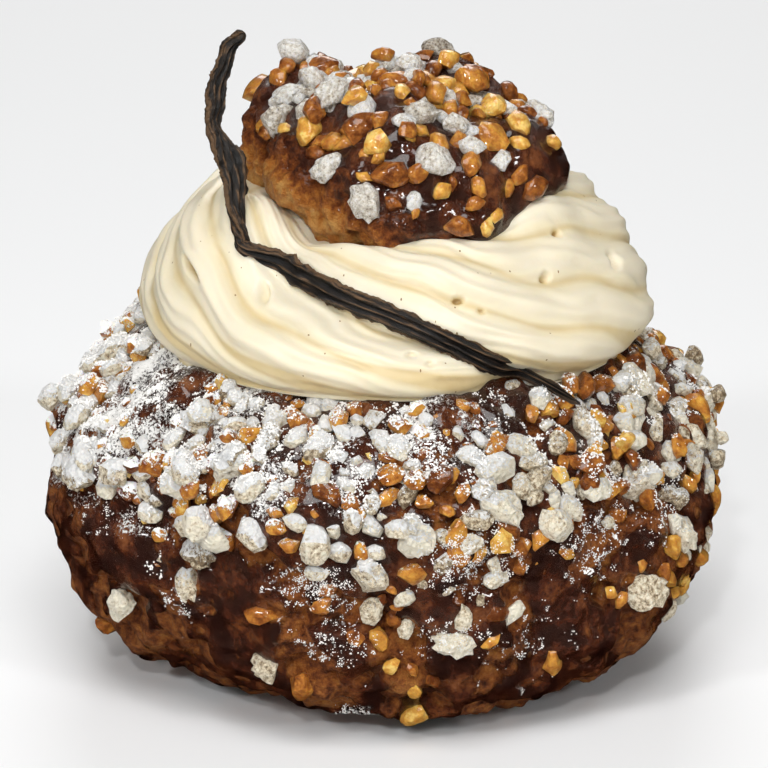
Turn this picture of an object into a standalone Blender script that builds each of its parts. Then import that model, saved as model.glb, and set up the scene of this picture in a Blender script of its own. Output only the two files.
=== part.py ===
"""A large filled chouquette: a glazed choux bun under pearl sugar and chopped nuts, a piped swirl of vanilla
cream, a small two-lobed choux cap, and a strip of split vanilla pod that stands up beside the cap and runs down
across the cream. Metres, +Z up, the front at -Y. The origin is the centre of the bun's flat underside."""

import math
import random

import bmesh
import bpy
from mathutils import Matrix, Vector, noise
from mathutils.bvhtree import BVHTree

# Driving sizes, in metres. Angles are in degrees, turning anticlockwise from +X as seen from above.
BUN_OUTLINE = (  # radius and height, from the rim of the flat underside up to the middle of the top
    (0.0196, 0.0000),
    (0.0240, 0.0012),
    (0.0281, 0.0034),
    (0.0314, 0.0066),
    (0.0337, 0.0102),
    (0.0351, 0.0142),
    (0.0360, 0.0186),
    (0.0359, 0.0229),
    (0.0350, 0.0270),
    (0.0327, 0.0307),
    (0.0296, 0.0338),
    (0.0259, 0.0364),
    (0.0218, 0.0384),
    (0.0174, 0.0398),
    (0.0130, 0.0407),
    (0.0086, 0.0412),
    (0.0043, 0.0414),
    (0.0000, 0.0415),
)
BUN_BELLY_HEIGHT = 0.0190  # where the bun is widest
BUN_LUMPS = ((0.019, 0.0026, 3.1), (0.0085, 0.0012, 7.7))  # width, height and seed of each size of lump
BUN_LUMPS_FULL_ABOVE = 0.004

CREAM_CENTRE_X = 0.0010
CREAM_OUTLINE = (  # radius and height, from under the middle, over the outside, to the hollow under the cap
    (0.0000, 0.0355),
    (0.0236, 0.0363),
    (0.0266, 0.0374),
    (0.0279, 0.0402),
    (0.0268, 0.0442),
    (0.0246, 0.0483),
    (0.0217, 0.0521),
    (0.0184, 0.0541),
    (0.0155, 0.0535),
    (0.0120, 0.0524),
    (0.0000, 0.0515),
)
CREAM_RIDGED_FROM, CREAM_RIM, CREAM_RIDGED_TO = 0.16, 0.70, 0.86  # shares of the outline
CREAM_LUMPS = ((0.016, 0.0022, 4.4),)
CREAM_RIM_DIP = 0.0031  # how much lower the rim is where the cap leans on it
CREAM_DIP_SPAN = (214, 240, 306, 334)  # the angles where the dip starts, is full, is still full, and ends
CREAM_DIP_HEIGHTS = (0.038, 0.054)  # the dip starts at the first and is full at the second
RIDGES = 12  # ridges that a level line round the cream crosses
RIDGES_UP = 5.0  # ridges that a line straight up the ridged stretch crosses
RIDGE_HEIGHT = 0.0008
RIDGE_ROUNDNESS = 1.3  # under 1 makes broad ridges with narrow valleys, 2 makes both alike

CREASE_HEIGHTS = (  # angle and height of the deep crease under the pod
    (220, 0.0502),
    (228, 0.0488),
    (236, 0.0477),
    (252, 0.0460),
    (267, 0.0445),
    (281, 0.0422),
    (294, 0.0390),
    (310, 0.0358),
)
CREASE_SPAN = (208, 242, 296, 322)
CREASE_DEPTH = 0.0022
CREASE_HALF_WIDTH = 0.0027

CAP_CENTRE = (0.0026, -0.0030, 0.0560)
CAP_RADII = (0.0160, 0.0138, 0.0086)
CAP_TILT = (14.0, 3.0)  # leaning towards the front, and to the right
CAP_LUMPS = ((0.0105, 0.0030, 11.3), (0.0048, 0.0011, 22.6))
LOBE_CENTRE = (-0.0092, 0.0045, 0.0574)
LOBE_RADII = (0.0060, 0.0068, 0.0088)
LOBE_TILT = (-8.0, 16.0)
LOBE_LUMPS = ((0.0105, 0.0030, 5.2), (0.0048, 0.0011, 10.4))

POD_WIDTH = 0.0029
POD_THICKNESS = 0.0011
POD_STANDING = (  # the middle of the strip from its tip down to the cream's rim
    (-0.0147, -0.0055, 0.0709),
    (-0.0162, -0.0060, 0.0697),
    (-0.0170, -0.0070, 0.0677),
    (-0.0176, -0.0080, 0.0659),
    (-0.0178, -0.0090, 0.0639),
    (-0.0180, -0.0100, 0.0619),
    (-0.0171, -0.0108, 0.0599),
    (-0.0160, -0.0115, 0.0583),
    (-0.0157, -0.0124, 0.0562),
    (-0.0156, -0.0136, 0.0536),
    (-0.0151, -0.0150, 0.0514),
)
POD_LYING = (226, 302)  # the angles between which it lies on the cream
POD_LYING_STEPS = 10
POD_ABOVE_CREASE = 0.0008
POD_LIFT = 0.0004  # from the creased cream out to the strip's middle
POD_END = (0.0203, -0.0266, 0.0364)
# Share of the pod's length, and there its turn (90 lies flat on the cream) and its share of the full width
POD_TURNS = ((0.0, 35), (0.14, 20), (0.26, 35), (0.34, -15), (0.42, 15), (0.5, 80), (0.56, 90), (1.0, 90))
POD_WIDTHS = (
    (0.0, 0.30), (0.04, 0.50), (0.16, 0.85), (0.24, 0.65), (0.32, 1.15), (0.42, 0.85), (0.48, 0.60), (0.58, 0.95),
    (0.90, 0.80), (1.0, 0.20),
)  # fmt: skip

SUGAR_SIZE = (0.0044, 0.0034, 0.0028)  # a large grain of pearl sugar: length, width and thickness
NUT_SIZE = (0.0040, 0.0029, 0.0024)  # a large piece of chopped nut
NUT_SHARE = 0.45  # of all the large pieces
NUT_CUT = -0.45  # where a nut is chopped flat, in shares of its half length
SUNK = 0.35  # how far a piece's middle is above the crust, in shares of its half thickness
BUN_PIECES, CAP_PIECES, LOBE_PIECES = 116, 36, 10  # places for large pieces, some of which stay empty
BUN_TOPPED_FROM, BUN_TOPPED_TO = 0.12, 0.64  # shares of the bun's outline
BUN_CROWDING = 0.85  # 0 spreads the pieces evenly up the bun, 1 crowds them all against the cream
BUN_STRAY_ROUND, BUN_STRAY_UP = 0.3, 0.03  # how far pieces lie off an even spread: radians, share of the outline
CAP_STRAY_ROUND = 0.09
CAP_TOPPED = 0.58  # the share of the cap, from its top down, that is topped
CAP_BARE = 0.13  # how much less is topped on the side at CAP_BARE_ANGLE
CAP_BARE_ANGLE = 228
LOBE_TOPPED = 0.40
GOLDEN_ANGLE = math.radians(137.50776)

GAP = 0.0004  # between pieces that touch

# Fineness of the faceted solids
BUN_SEGMENTS, BUN_RINGS = 48, 19
CAP_SEGMENTS, CAP_RINGS = 24, 13
CREAM_SAMPLES_A_RIDGE = 4
CREAM_ROWS = 20
POD_STATIONS, POD_SIDES = 46, 8


def material(name, colour, roughness):
    made = bpy.data.materials.new(name)
    made.use_nodes = True
    shader = made.node_tree.nodes["Principled BSDF"]
    shader.inputs["Base Color"].default_value = (*colour, 1.0)
    shader.inputs["Roughness"].default_value = roughness
    shader.inputs["Metallic"].default_value = 0.0
    return made


def placed(name, mesh, finish):
    """A new object with this mesh and finish, in the scene."""
    made = bpy.data.objects.new(name, mesh)
    bpy.context.scene.collection.objects.link(made)
    mesh.materials.append(finish)
    return made


def as_mesh(name, bm):
    bmesh.ops.recalc_face_normals(bm, faces=bm.faces)
    mesh = bpy.data.meshes.new(name)
    bm.to_mesh(mesh)
    bm.free()
    return mesh


def lumps(point, sizes):
    """How far smooth random lumps of these (width, height, seed) swell the surface at a point."""
    return sum(
        height * noise.noise(point / width + Vector((seed, -seed, 0.5 * seed))) for width, height, seed in sizes
    )


def smooth(value, low, high):
    """0 below `low`, 1 above `high`, and an easy slope between them."""
    share = min(1.0, max(0.0, (value - low) / (high - low)))
    return share * share * (3 - 2 * share)


def within(value, span):
    """0 outside a span of (start, full, still full, end), 1 in its middle, and easy slopes between them."""
    return smooth(value, span[0], span[1]) * (1 - smooth(value, span[2], span[3]))


def between(table, key):
    """Straight-line value from a table of (key, value) pairs."""
    for (low, first), (high, last) in zip(table, table[1:]):
        if key <= high:
            return first + (last - first) * (key - low) / (high - low)
    return table[-1][1]


def through(points, share):
    """A point at this share of a smooth curve through the given points (Catmull-Rom)."""
    place = min(max(share, 0.0), 1.0) * (len(points) - 1)
    i = min(int(place), len(points) - 2)
    t = place - i
    a, b, c, d = (Vector(points[min(max(i + k, 0), len(points) - 1)]) for k in (-1, 0, 1, 2))
    return 0.5 * (2 * b + (c - a) * t + (2 * a - 5 * b + 4 * c - d) * t**2 + (3 * b - a - 3 * c + d) * t**3)


def turned_mesh(name, skin, segments, rings, grow=0.0):
    """A closed ball of rings: skin(angle, share) gives its points, share 0 at the lowest and 1 at the highest."""
    bm = bmesh.new()
    poles = [bm.verts.new(skin(0.0, share)) for share in (0.0, 1.0)]
    hoops = [
        [bm.verts.new(skin(math.tau * i / segments, ring / rings)) for i in range(segments)]
        for ring in range(1, rings)
    ]
    for i in range(segments):
        after = (i + 1) % segments
        bm.faces.new((poles[0], hoops[0][after], hoops[0][i]))
        bm.faces.new((poles[1], hoops[-1][i], hoops[-1][after]))
        for low, high in zip(hoops, hoops[1:]):
            bm.faces.new((low[i], low[after], high[after], high[i]))
    if grow:
        bm.normal_update()
        for vert, away in [(v, v.normal.copy()) for v in bm.verts]:
            vert.co += away * grow
    bmesh.ops.triangulate(bm, faces=bm.faces)
    return as_mesh(name, bm)


# The bun --------------------------------------------------------------------------------------------------------


def bun_skin(angle, run):
    """A point of the uneven crust, run 0 at the foot's rim and 1 at the top. The lumps fade out at the foot."""
    radius, height = through(BUN_OUTLINE, run)
    point = Vector((radius * math.cos(angle), radius * math.sin(angle), height))
    away = (point - Vector((0, 0, BUN_BELLY_HEIGHT))).normalized()
    return point + away * lumps(point, BUN_LUMPS) * min(1.0, height / BUN_LUMPS_FULL_ABOVE)


def bun_mesh(name, grow=0.0):
    foot_share = 1 / BUN_RINGS

    def skin(angle, share):
        return Vector() if share == 0 else bun_skin(angle, (share - foot_share) / (1 - foot_share))

    return turned_mesh(name, skin, BUN_SEGMENTS, BUN_RINGS, grow)


# The cap --------------------------------------------------------------------------------------------------------


def lobe_skin(centre, radii, tilt, lump_sizes):
    """skin(angle, share) of one lumpy, tilted lobe of choux."""
    turn = Matrix.Rotation(math.radians(tilt[1]), 3, "Y") @ Matrix.Rotation(math.radians(tilt[0]), 3, "X")

    def skin(angle, share):
        rise = math.pi * (share - 0.5)
        way = Vector((math.cos(rise) * math.cos(angle), math.cos(rise) * math.sin(angle), math.sin(rise)))
        point = Vector(w * r for w, r in zip(way, radii))
        return turn @ (point + way * lumps(point, lump_sizes)) + Vector(centre)

    return skin


CAP_SKIN = lobe_skin(CAP_CENTRE, CAP_RADII, CAP_TILT, CAP_LUMPS)
LOBE_SKIN = lobe_skin(LOBE_CENTRE, LOBE_RADII, LOBE_TILT, LOBE_LUMPS)


# The cream ------------------------------------------------------------------------------------------------------


def ridges_passed(share):
    """How many ridges a line straight up the cream has crossed at this share of the outline."""
    ridged = (share - CREAM_RIDGED_FROM) / (CREAM_RIDGED_TO - CREAM_RIDGED_FROM)
    return RIDGES_UP * ridged


def cream_skin(angle, share):
    """A point of the cream. Rounded ridges fall to the right as they go round, and one deep crease cuts them."""
    outline = [Vector((r, 0, z)) for r, z in CREAM_OUTLINE]
    flat = through(outline, share)
    along = (through(outline, min(1.0, share + 0.002)) - through(outline, max(0.0, share - 0.002))).normalized()
    out = Vector((along.z, 0, -along.x))
    turned = math.cos(angle), math.sin(angle)
    degrees = math.degrees(angle) % 360
    dip = CREAM_RIM_DIP * within(degrees, CREAM_DIP_SPAN) * smooth(flat.z, *CREAM_DIP_HEIGHTS)
    if CREAM_RIDGED_FROM < share < CREAM_RIDGED_TO:
        spread = math.sin(math.pi * (share - CREAM_RIDGED_FROM) / (CREAM_RIDGED_TO - CREAM_RIDGED_FROM))
        number = RIDGES * angle / math.tau + ridges_passed(share)
        ridge = RIDGE_HEIGHT * (abs(math.sin(math.pi * number)) ** RIDGE_ROUNDNESS - 0.5)
        rough = Vector((flat.x * turned[0], flat.x * turned[1], flat.z))
        gone = (flat.z - dip - between(CREASE_HEIGHTS, degrees)) / CREASE_HALF_WIDTH
        crease = CREASE_DEPTH * within(degrees, CREASE_SPAN) * math.exp(-gone * gone)
        flat += out * (spread * (ridge + lumps(rough, CREAM_LUMPS)) - crease)
    return Vector((CREAM_CENTRE_X + flat.x * turned[0], flat.x * turned[1], flat.z - dip))


def cream_mesh():
    """The grid leans with the ridges, so that each crest and valley runs along an edge."""

    def skin(angle, share):
        return cream_skin(angle - math.tau * ridges_passed(share) / RIDGES, share)

    return turned_mesh("cream", skin, RIDGES * CREAM_SAMPLES_A_RIDGE, CREAM_ROWS)


# The vanilla pod ------------------------------------------------------------------------------------------------


def cream_at(angle, height):
    """The point of the cream's outside that is at this angle and height."""
    low, high = CREAM_RIDGED_FROM, CREAM_RIM
    for _ in range(20):
        middle = (low + high) / 2
        low, high = (middle, high) if cream_skin(angle, middle).z < height else (low, middle)
    return cream_skin(angle, low)


def pod_route():
    """Points down the pod: standing free, then along the deep crease, then out over the bun's shoulder."""
    route = [Vector(p) for p in POD_STANDING]
    for step in range(POD_LYING_STEPS):
        degrees = POD_LYING[0] + (POD_LYING[1] - POD_LYING[0]) * step / (POD_LYING_STEPS - 1)
        on_cream = cream_at(math.radians(degrees), between(CREASE_HEIGHTS, degrees) + POD_ABOVE_CREASE)
        away = (on_cream - Vector((0, 0, on_cream.z - 0.006))).normalized()
        route.append(on_cream + away * POD_LIFT)
    return route + [Vector(POD_END)]


def pod_mesh(name, grow=0.0):
    """A flat strip swept down the route, turning about its own line."""
    route = pod_route()
    axis = Vector((CREAM_CENTRE_X, 0, 0))
    bm = bmesh.new()
    hoops = []
    for station in range(POD_STATIONS):
        share = station / (POD_STATIONS - 1)
        middle = through(route, share)
        along = (through(route, min(1, share + 0.01)) - through(route, max(0, share - 0.01))).normalized()
        out = middle - axis
        out.z = 0
        out = (out - along * out.dot(along)).normalized()
        side = along.cross(out)
        turn = math.radians(between(POD_TURNS, share) - 90)
        wide = side * math.cos(turn) + out * math.sin(turn)
        thick = along.cross(wide)
        half_width = POD_WIDTH / 2 * between(POD_WIDTHS, share) + grow
        half_thickness = POD_THICKNESS / 2 * min(1.0, 0.5 + between(POD_WIDTHS, share) / 2) + grow
        middle += along * grow * (2 * share - 1)
        hoops.append([
            bm.verts.new(
                middle
                + wide * half_width * math.cos(math.tau * k / POD_SIDES)
                + thick * half_thickness * math.sin(math.tau * k / POD_SIDES)
            )
            for k in range(POD_SIDES)
        ])
    for one, other in zip(hoops, hoops[1:]):
        for k in range(POD_SIDES):
            after = (k + 1) % POD_SIDES
            bm.faces.new((one[k], one[after], other[after], other[k]))
    bm.faces.new(hoops[0])
    bm.faces.new(hoops[-1])
    bmesh.ops.triangulate(bm, faces=bm.faces)
    return as_mesh(name, bm)


# The toppings ---------------------------------------------------------------------------------------------------


def bun_site(number):
    """(angle, run) of a large piece on the bun. They are closest together on the shoulder, by the cream."""
    draw = random.Random(1000 + number)
    share = (number + 0.5) / BUN_PIECES
    crowded = share * (2 - BUN_CROWDING * share) / (2 - BUN_CROWDING)
    run = BUN_TOPPED_FROM + (BUN_TOPPED_TO - BUN_TOPPED_FROM) * crowded
    angle = number * GOLDEN_ANGLE + draw.uniform(-BUN_STRAY_ROUND, BUN_STRAY_ROUND)
    return angle, run + draw.uniform(-BUN_STRAY_UP, BUN_STRAY_UP)


def cap_site(number):
    """(angle, share) of a large piece on the cap's top. The crust at the front left stays bare."""
    draw = random.Random(5000 + number)
    angle = number * GOLDEN_ANGLE + draw.uniform(-CAP_STRAY_ROUND, CAP_STRAY_ROUND)
    topped = CAP_TOPPED - CAP_BARE * math.cos(angle - math.radians(CAP_BARE_ANGLE))
    return angle, 1 - topped * math.sqrt((number + 0.5) / CAP_PIECES)


def lobe_site(number):
    """(angle, share) of a large piece on the top of the small lobe."""
    return number * GOLDEN_ANGLE, 1 - LOBE_TOPPED * math.sqrt((number + 0.5) / LOBE_PIECES)


def standing(skin, angle, share, step=0.01):
    """(point, outward normal) of a skin."""
    round_it = skin(angle + step, share) - skin(angle - step, share)
    up_it = skin(angle, share + step) - skin(angle, share - step)
    return skin(angle, share), round_it.cross(up_it).normalized()


def topping_mesh(seed, point, normal):
    """One large grain: a rough lump of sugar, or a nut chopped flat on one side, sunk a little in the glaze."""
    draw = random.Random(seed)
    is_nut = draw.random() < NUT_SHARE
    scale = draw.uniform(0.8, 1.2)
    half = [scale * size / 2 for size in (NUT_SIZE if is_nut else SUGAR_SIZE)]
    spin = Matrix.Rotation(draw.uniform(0, math.tau), 3, "Z")
    lean = Matrix.Rotation(draw.uniform(-0.5, 0.5), 3, "X")
    upright = normal.to_track_quat("Z", "Y").to_matrix()
    bm = bmesh.new()
    bmesh.ops.create_icosphere(bm, subdivisions=1, radius=1.0)
    for vert in bm.verts:
        vert.co *= draw.uniform(0.92, 1.16)
        if is_nut:
            vert.co.x = max(vert.co.x, NUT_CUT)
        vert.co = Vector(c * h for c, h in zip(vert.co, half))
        vert.co = point + normal * half[2] * SUNK + upright @ spin @ lean @ vert.co
    return as_mesh("topping", bm)


def clear_of(mesh, trees):
    """Whether a small mesh keeps its gap to every neighbour."""
    for tree in trees:
        for vert in mesh.vertices:
            near, normal, _, distance = tree.find_nearest(vert.co)
            if distance < GAP or (vert.co - near).dot(normal) < 0:
                return False
    return True


def large_toppings(skin, site, count, first_seed, neighbours, lowest):
    """The meshes of the large pieces that are clear of the neighbours and of the floor."""
    found = []
    for number in range(count):
        piece = topping_mesh(first_seed + number, *standing(skin, *site(number)))
        if clear_of(piece, neighbours) and min(v.co.z for v in piece.vertices) > lowest:
            found.append(piece)
    return found


def largest_piece(obj):
    """Drops loose scraps, and fills hollows that fusing has sealed, by keeping only the largest connected shell."""
    bm = bmesh.new()
    bm.from_mesh(obj.data)
    left, shells = set(bm.verts), []
    while left:
        shell, edge = set(), [left.pop()]
        while edge:
            vert = edge.pop()
            shell.add(vert)
            edge += [e.other_vert(vert) for e in vert.link_edges if e.other_vert(vert) in left]
            left -= set(edge)
        shells.append(shell)
    largest = max(shells, key=len)
    bmesh.ops.delete(bm, geom=[v for v in bm.verts if v not in largest], context="VERTS")
    bm.to_mesh(obj.data)
    bm.free()


def combine(obj, meshes, operation):
    """Fuses the meshes to the object, or cuts them from it, with one Boolean that is then applied."""
    tools = bpy.data.collections.new("tools")
    bpy.context.scene.collection.children.link(tools)
    for mesh in meshes:
        tools.objects.link(bpy.data.objects.new("tool", mesh))
    boolean = obj.modifiers.new("combine", "BOOLEAN")
    boolean.operand_type = "COLLECTION"
    boolean.collection = tools
    boolean.operation = operation
    boolean.solver = "EXACT"
    finished = bpy.data.meshes.new_from_object(obj.evaluated_get(bpy.context.evaluated_depsgraph_get()))
    obj.modifiers.clear()
    obj.data = finished
    for tool in list(tools.objects):
        bpy.data.objects.remove(tool)
    bpy.data.collections.remove(tools)
    largest_piece(obj)


def tree_of(obj):
    return BVHTree.FromPolygons([v.co for v in obj.data.vertices], [p.vertices for p in obj.data.polygons])


def main():
    for obj in list(bpy.data.objects):
        bpy.data.objects.remove(obj)
    crust = material("glazed_choux", (0.16, 0.045, 0.012), 0.25)
    cream_finish = material("cream", (0.83, 0.72, 0.50), 0.35)
    pod_finish = material("vanilla_pod", (0.020, 0.014, 0.010), 0.45)

    pod = placed("vanilla_pod", pod_mesh("vanilla_pod"), pod_finish)
    cream = placed("cream", cream_mesh(), cream_finish)
    cap_parts = [
        turned_mesh("cap_part", skin, CAP_SEGMENTS, CAP_RINGS, GAP) for skin in (CAP_SKIN, LOBE_SKIN)
    ]
    combine(cream, [bun_mesh("seat", GAP), *cap_parts, pod_mesh("pod_bed", GAP)], "DIFFERENCE")

    neighbours = tree_of(pod), tree_of(cream)
    bun = placed("base_choux", bun_mesh("base_choux"), crust)
    combine(bun, large_toppings(bun_skin, bun_site, BUN_PIECES, 9000, neighbours, GAP), "UNION")
    cap = placed("cap_choux", turned_mesh("cap_choux", CAP_SKIN, CAP_SEGMENTS, CAP_RINGS), crust)
    lobe = turned_mesh("lobe", LOBE_SKIN, CAP_SEGMENTS, CAP_RINGS)
    on_cap = large_toppings(CAP_SKIN, cap_site, CAP_PIECES, 8000, neighbours, 0.0)
    on_cap += large_toppings(LOBE_SKIN, lobe_site, LOBE_PIECES, 7000, neighbours, 0.0)
    combine(cap, [lobe, *on_cap], "UNION")


main()
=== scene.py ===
"""The looks of a large filled chouquette: a glazed choux bun under pearl sugar, chopped nuts and
icing sugar, with a piped swirl of vanilla cream, a small two-lobed choux cap and a strip of split
vanilla pod. Metres, +Z up, the front at -Y. Angles turn anticlockwise from +X, seen from above."""

import math
import random

import bpy
import numpy as np
from mathutils import Matrix, Vector, noise
from mathutils.bvhtree import BVHTree


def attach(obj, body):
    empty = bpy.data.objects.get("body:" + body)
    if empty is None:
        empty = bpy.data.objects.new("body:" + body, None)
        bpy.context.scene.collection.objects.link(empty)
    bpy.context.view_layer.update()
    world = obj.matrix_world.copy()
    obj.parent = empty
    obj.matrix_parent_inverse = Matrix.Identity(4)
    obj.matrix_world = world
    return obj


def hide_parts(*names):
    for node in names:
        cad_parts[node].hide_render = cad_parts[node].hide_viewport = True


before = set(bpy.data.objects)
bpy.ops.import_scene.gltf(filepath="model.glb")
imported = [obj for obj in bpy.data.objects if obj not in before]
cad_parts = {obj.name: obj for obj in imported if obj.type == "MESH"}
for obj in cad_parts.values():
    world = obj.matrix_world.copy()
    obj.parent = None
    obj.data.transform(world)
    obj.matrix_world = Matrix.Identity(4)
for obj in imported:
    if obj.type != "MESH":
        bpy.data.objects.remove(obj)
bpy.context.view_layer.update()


# --- The view, the light and the table ---
# The camera is close, and looks down on the front by 18 degrees. One wide soft light hangs over
# the pale table's front, weaker ones stand at both sides and behind, and two small lamps near the
# camera put glints on the glaze. Neither the table nor the room mirrors in the pieces.
LOOK_AT = Vector((0.0, 0.0, 0.030))
CAMERA_DISTANCE = 0.38
CAMERA_ELEVATION = math.radians(18.0)
CAMERA_NEAR = 0.01
PICTURE_SIDE = 768
PIXELS_A_METRE = 9000  # at LOOK_AT
SENSOR = 36.0
ROOM_COLOUR = (1.0, 0.96, 0.92, 1.0)
ROOM_STRENGTH = 0.165
TABLE_SIZE = 4.0
TABLE_CLOUDS = 0.35
TABLE_COLOURS = ((0.3, (0.86, 0.87, 0.88)), (0.7, (0.88, 0.885, 0.89)))
LAMPS = (  # name, place, size and watts
    ("overhead_light", (0.02, -0.70, 1.35), 0.80, 13.1),
    ("back_light", (0.0, 0.95, 0.70), 0.60, 4.6),
    ("left_light", (-0.48, -0.55, 0.50), 0.12, 1.7),
    ("right_light", (0.48, -0.55, 0.45), 0.10, 1.1),
    ("glint_lamp", (-0.05, -0.50, 0.36), 0.03, 0.75),
    ("low_glint_lamp", (-0.16, -0.52, 0.09), 0.03, 0.28),
)

towards_camera = Vector((0, -math.cos(CAMERA_ELEVATION), math.sin(CAMERA_ELEVATION)))
bpy.ops.object.camera_add(
    location=LOOK_AT + towards_camera * CAMERA_DISTANCE,
    rotation=(math.pi / 2 - CAMERA_ELEVATION, 0, 0),
)
camera = bpy.context.object
camera.data.sensor_width = SENSOR
camera.data.lens = SENSOR * PIXELS_A_METRE * CAMERA_DISTANCE / PICTURE_SIDE
camera.data.clip_start = CAMERA_NEAR
bpy.context.scene.camera = camera
bpy.context.scene.view_settings.view_transform = "Standard"

for name, place, size, watts in LAMPS:  # square soft lights that face the middle of the chouquette
    turned = (Vector(place) - LOOK_AT).to_track_quat("Z", "Y").to_euler()
    bpy.ops.object.light_add(type="AREA", location=place, rotation=turned)
    light = bpy.context.object
    light.name = name
    light.data.size = size
    light.data.energy = watts

room = bpy.data.worlds.new("pale_room")
bpy.context.scene.world = room
room.use_nodes = True
room.node_tree.nodes["Background"].inputs["Color"].default_value = ROOM_COLOUR
room.node_tree.nodes["Background"].inputs["Strength"].default_value = ROOM_STRENGTH
room.cycles_visibility.glossy = False


def node(tree, kind, settings=None, inputs=None):
    """A new shader node with its settings, and its inputs, by name or number, set or linked."""
    made = tree.nodes.new("ShaderNode" + kind)
    for setting, value in (settings or {}).items():
        setattr(made, setting, value)
    for socket, value in (inputs or {}).items():
        feed(tree, made.inputs[socket], value)
    return made


def feed(tree, socket, value):
    """Links an output to a socket, or sets the socket to a plain value or colour."""
    if isinstance(value, bpy.types.NodeSocket):
        tree.links.new(value, socket)
    elif isinstance(value, tuple) and len(value) == 3 and len(socket.default_value) == 4:
        socket.default_value = (*value, 1.0)
    else:
        socket.default_value = value


def new_finish(name, constant):
    """A material, with the values that are the same all over set on its Principled shader."""
    made = bpy.data.materials.new(name)
    made.use_nodes = True
    shader = made.node_tree.nodes["Principled BSDF"]
    for socket, value in constant.items():
        feed(made.node_tree, shader.inputs[socket], value)
    return made, made.node_tree, shader.inputs


def on_object(tree):
    """Where a point is on its piece, in metres."""
    return node(tree, "TexCoord").outputs["Object"]


def speckle(tree, where, size, detail=4.0, roughness=0.55):
    """Cloudy noise from 0 to 1 whose lumps have this size in metres."""
    cloud = {"Vector": where, "Scale": 1 / size, "Detail": detail, "Roughness": roughness}
    return node(tree, "TexNoise", None, cloud).outputs["Fac"]


def colours_by(tree, value, *stops):
    """A colour ramp: each stop is (place from 0 to 1, colour)."""
    ramp = node(tree, "ValToRGB", None, {"Fac": value})
    while len(ramp.color_ramp.elements) < len(stops):
        ramp.color_ramp.elements.new(0.5)
    for element, (place, colour) in zip(ramp.color_ramp.elements, stops):
        element.position = place
        element.color = (*colour, 1.0)
    return ramp.outputs["Color"]


table_finish, tree, shader = new_finish("table", {"Roughness": 0.6, "Specular IOR Level": 0.3})
faint = speckle(tree, on_object(tree), TABLE_CLOUDS, 2.0)
feed(tree, shader["Base Color"], colours_by(tree, faint, *TABLE_COLOURS))
bpy.ops.object.select_all(action="DESELECT")
bpy.ops.mesh.primitive_plane_add(size=TABLE_SIZE)
table = bpy.context.object
table.name = "table"
table.visible_glossy = False
table.data.materials.append(table_finish)


# --- The bun ---
# A large choux bun with a craggy baked crust. It is dipped in dark caramel, which covers its top
# and shoulder, fills the cracks, and runs down the sides in smooth tongues between stretches of
# orange-brown crust.
BUN_OUTLINE = (  # radius and height, from the flat underside's rim to the middle of the top
    (0.0196, 0.0000), (0.0240, 0.0012), (0.0281, 0.0034), (0.0314, 0.0066), (0.0337, 0.0102),
    (0.0351, 0.0142), (0.0360, 0.0186), (0.0359, 0.0229), (0.0350, 0.0270), (0.0327, 0.0307),
    (0.0296, 0.0338), (0.0259, 0.0364), (0.0218, 0.0384), (0.0174, 0.0398), (0.0130, 0.0407),
    (0.0086, 0.0412), (0.0043, 0.0414), (0.0000, 0.0415),
)  # fmt: skip
BUN_BELLY_HEIGHT = 0.0190
BUN_LUMPS = ((0.019, 0.0026, 3.1), (0.0085, 0.0012, 7.7))  # width, height and seed
BUN_LUMPS_FULL_ABOVE = 0.004
BUN_SEGMENTS, BUN_RINGS = 104, 58  # before the quads are split
BUN_FOOT_SHARE = 0.10  # of the rings that lie in the flat underside
BALL_FINENESS = 2  # how many times a ball's quads are split in four

CRUST_CRAGS = ((0.0058, 0.0014, 1.3), (0.0026, 0.0013, 2.9), (0.0012, 0.00055, 6.1))
CRUST_PIT_SPACING = 0.0038
CRUST_PIT_REACH = 0.30  # in shares of the spacing
CRUST_PIT_DEPTH = 0.0012
CRUST_PIT_LOTS, CRUST_PIT_ROUNDNESS = 7.3, 0.7  # the first draws which places have a pit
CRUST_FULL_ABOVE = 0.0035  # the crags and pits fade out below this, towards the foot
GLAZED_FROM, GLAZED_TO = -0.012, 0.028  # heights over which the caramel's cover grows to full
GLAZE_PATCHES = ((0.0062, 1.3, 8.8), (0.0024, 1.1, 4.1))  # width, strength and seed
GLAZE_COVER_EDGE = (0.34, 0.78)
GLAZE_FILLS = 0.5  # the share of the crags and pits that it fills
TONGUES = 11
TONGUE_WIDTHS = (0.0010, 0.0026)
TONGUE_ENDS = (0.0020, 0.0130)  # heights
TONGUE_SLANT = 0.20  # radians that a tongue turns on its way down
TONGUE_SWELL, TONGUE_SWELLS = 0.5, 5  # how much it swells and thins on its way, and how often
TONGUE_COVER = 0.8
GLAZE_THICKNESS = 0.0005
GLAZE_EDGE = 0.0012
GOLDEN_ANGLE = math.radians(137.50776)


def lumps(point, sizes):
    """How far smooth random lumps of these (width, height, seed) swell the surface at a point."""
    return sum(
        height * noise.noise(point / width + Vector((seed, -seed, 0.5 * seed)))
        for width, height, seed in sizes
    )


def smooth(value, low, high):
    """0 below `low`, 1 above `high`, and an easy slope between them."""
    share = min(1.0, max(0.0, (value - low) / (high - low)))
    return share * share * (3 - 2 * share)


def through(points, share):
    """A point at this share of a smooth curve through the given points (Catmull-Rom)."""
    place = min(max(share, 0.0), 1.0) * (len(points) - 1)
    i = min(int(place), len(points) - 2)
    t = place - i
    a, b, c, d = (Vector(points[min(max(i + k, 0), len(points) - 1)]) for k in (-1, 0, 1, 2))
    bend, twist = 2 * a - 5 * b + 4 * c - d, 3 * b - a - 3 * c + d
    return 0.5 * (2 * b + (c - a) * t + bend * t**2 + twist * t**3)


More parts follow.
